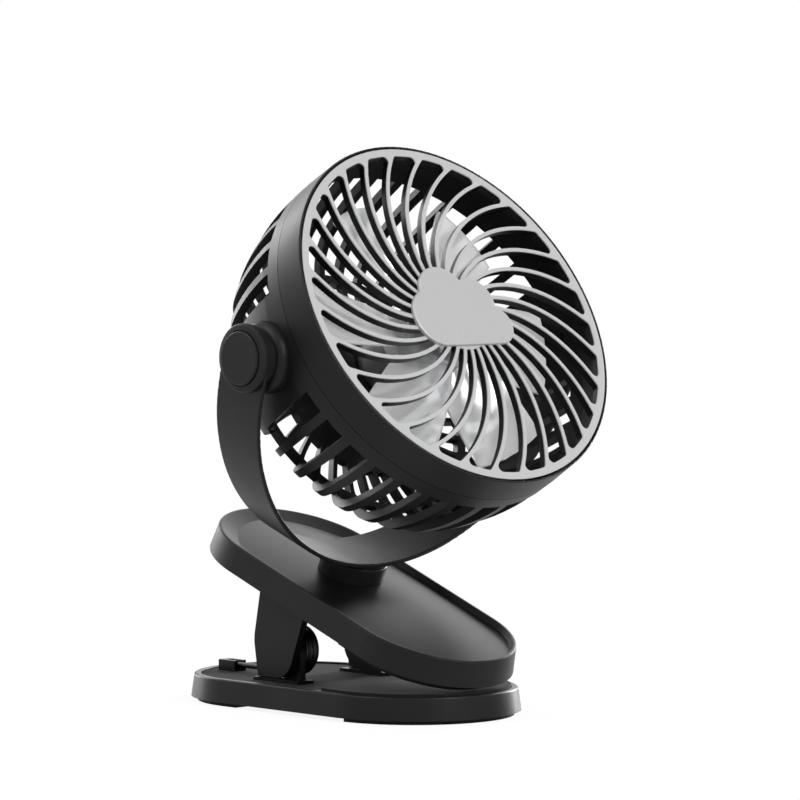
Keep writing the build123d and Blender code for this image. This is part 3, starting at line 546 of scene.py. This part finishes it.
base_screw_length = 0.0065
base_screw_x = (-0.038, 0.046)
base_screw_y = (-0.029, 0.029)
base_screw_face = 0.0016
base_spots = [
    Matrix.Translation((x, y, base_screw_face)) for x in base_screw_x for y in base_screw_y
]
drive("base_cross_screws", base_screw_length, base_spots, "base", "base_screws")

# The jaw's screws are placed from the swivel, along the jaw, across it and down from it.
jaw_screw_length = 0.0064
jaw_screw_x = (-0.0368, 0.0592)
jaw_screw_y = (-0.018, 0.018)
jaw_screw_face = -0.0104
jaw_stand = Matrix.Translation(swivel_place) @ Matrix.Rotation(up.angle(jaw_up), 4, "Y")
jaw_spots = [
    jaw_stand @ Matrix.Translation((x, y, jaw_screw_face))
    for x in jaw_screw_x
    for y in jaw_screw_y
]
drive("jaw_cross_screws", jaw_screw_length, jaw_spots, "jaw", "jaw_screws")

# ------------------------------------------------------------------ head shells
# Two black mouldings meet at a fine seam: the bezel in front, and the housing whose ribs
# form the cage behind. The washers at the pivots are moulded in the same plastic, and the
# grille and the rear cap in a slightly glossier one.
bezel_plastic = moulded_plastic(
    "bezel_black_plastic", deep=0.005, pale=0.007, roughness=0.44, grain=0.45
)
dress(bezel_plastic, "front_bezel", "rear_housing", "pivot_washers")
grille_plastic = moulded_plastic(
    "grille_black_plastic", deep=0.004, pale=0.006, roughness=0.38, grain=0.3
)
dress(grille_plastic, "grille_ribs", "rear_cap")

# ------------------------------------------------------------------ tilt knobs
# Round caps of dull black plastic over the pivots, each with a turned groove in its face.
# Their shanks pass through the yoke's eyes into the head.
knob_plastic = moulded_plastic(
    "knob_black_plastic", deep=0.006, pale=0.009, roughness=0.5, grain=0.5
)
dress(knob_plastic, "pivot_knob_left", "pivot_knob_right")

# ------------------------------------------------------------------ front grille
# The grille is moulded in black and its face sprayed silver, so its ribs are silver in
# front and black at their sides. A plain silver plate covers its middle, and the power
# button at the back is sprayed the same way.
flakes_per_metre = 2200.0
flake_darkest = 0.96
flake_brightest = 1.03


def silver_lacquer(name, shade, metallic, roughness):
    """Sprayed silver: fine flakes that change its tone and gloss from point to point."""
    smoother = roughness - 0.05
    rougher = roughness + 0.08
    silver = patterned(
        name,
        "ShaderNodeTexVoronoi",
        {"Scale": flakes_per_metre},
        tones={0.0: tone(shade * flake_darkest), 1.0: tone(shade * flake_brightest)},
        roughnesses={0.0: smoother, 1.0: rougher},
        tone_by="Color",
        roughness_by="Distance",
    )
    silver.node_tree.nodes["Principled BSDF"].inputs["Metallic"].default_value = metallic
    return silver


grille_silver = silver_lacquer("grille_silver", shade=0.40, metallic=0.15, roughness=0.42)
dress(grille_silver, "grille_face")
plate_silver = silver_lacquer("plate_silver", shade=0.385, metallic=0.35, roughness=0.4)
dress(plate_silver, "hub_plate")
button_silver = silver_lacquer("button_silver", shade=0.42, metallic=0.2, roughness=0.4)
dress(button_silver, "power_button")

# ------------------------------------------------------------------ fan blades
# Hub and blades are one moulding of milky polypropylene on the motor's shaft, bright in
# the light and a little see-through.
milk_shade = (0.90, 0.91, 0.91, 1)
milk_light = (0.96, 0.96, 0.97, 1)
milk_smoothest = 0.06
milk_roughest = 0.14
milk_index = 1.49
milk_clearness = 0.55
flow_marks_per_metre = 60.0
flow_marks_from = 0.35
flow_marks_to = 0.65

milky = patterned(
    "milky_polypropylene",
    "ShaderNodeTexNoise",
    {"Scale": flow_marks_per_metre},
    tones={flow_marks_from: milk_shade, flow_marks_to: milk_light},
    roughnesses={0.0: milk_smoothest, 1.0: milk_roughest},
)
milky_shader = milky.node_tree.nodes["Principled BSDF"]
milky_shader.inputs["IOR"].default_value = milk_index
milky_shader.inputs["Transmission Weight"].default_value = milk_clearness
dress(milky, "fan_blade")
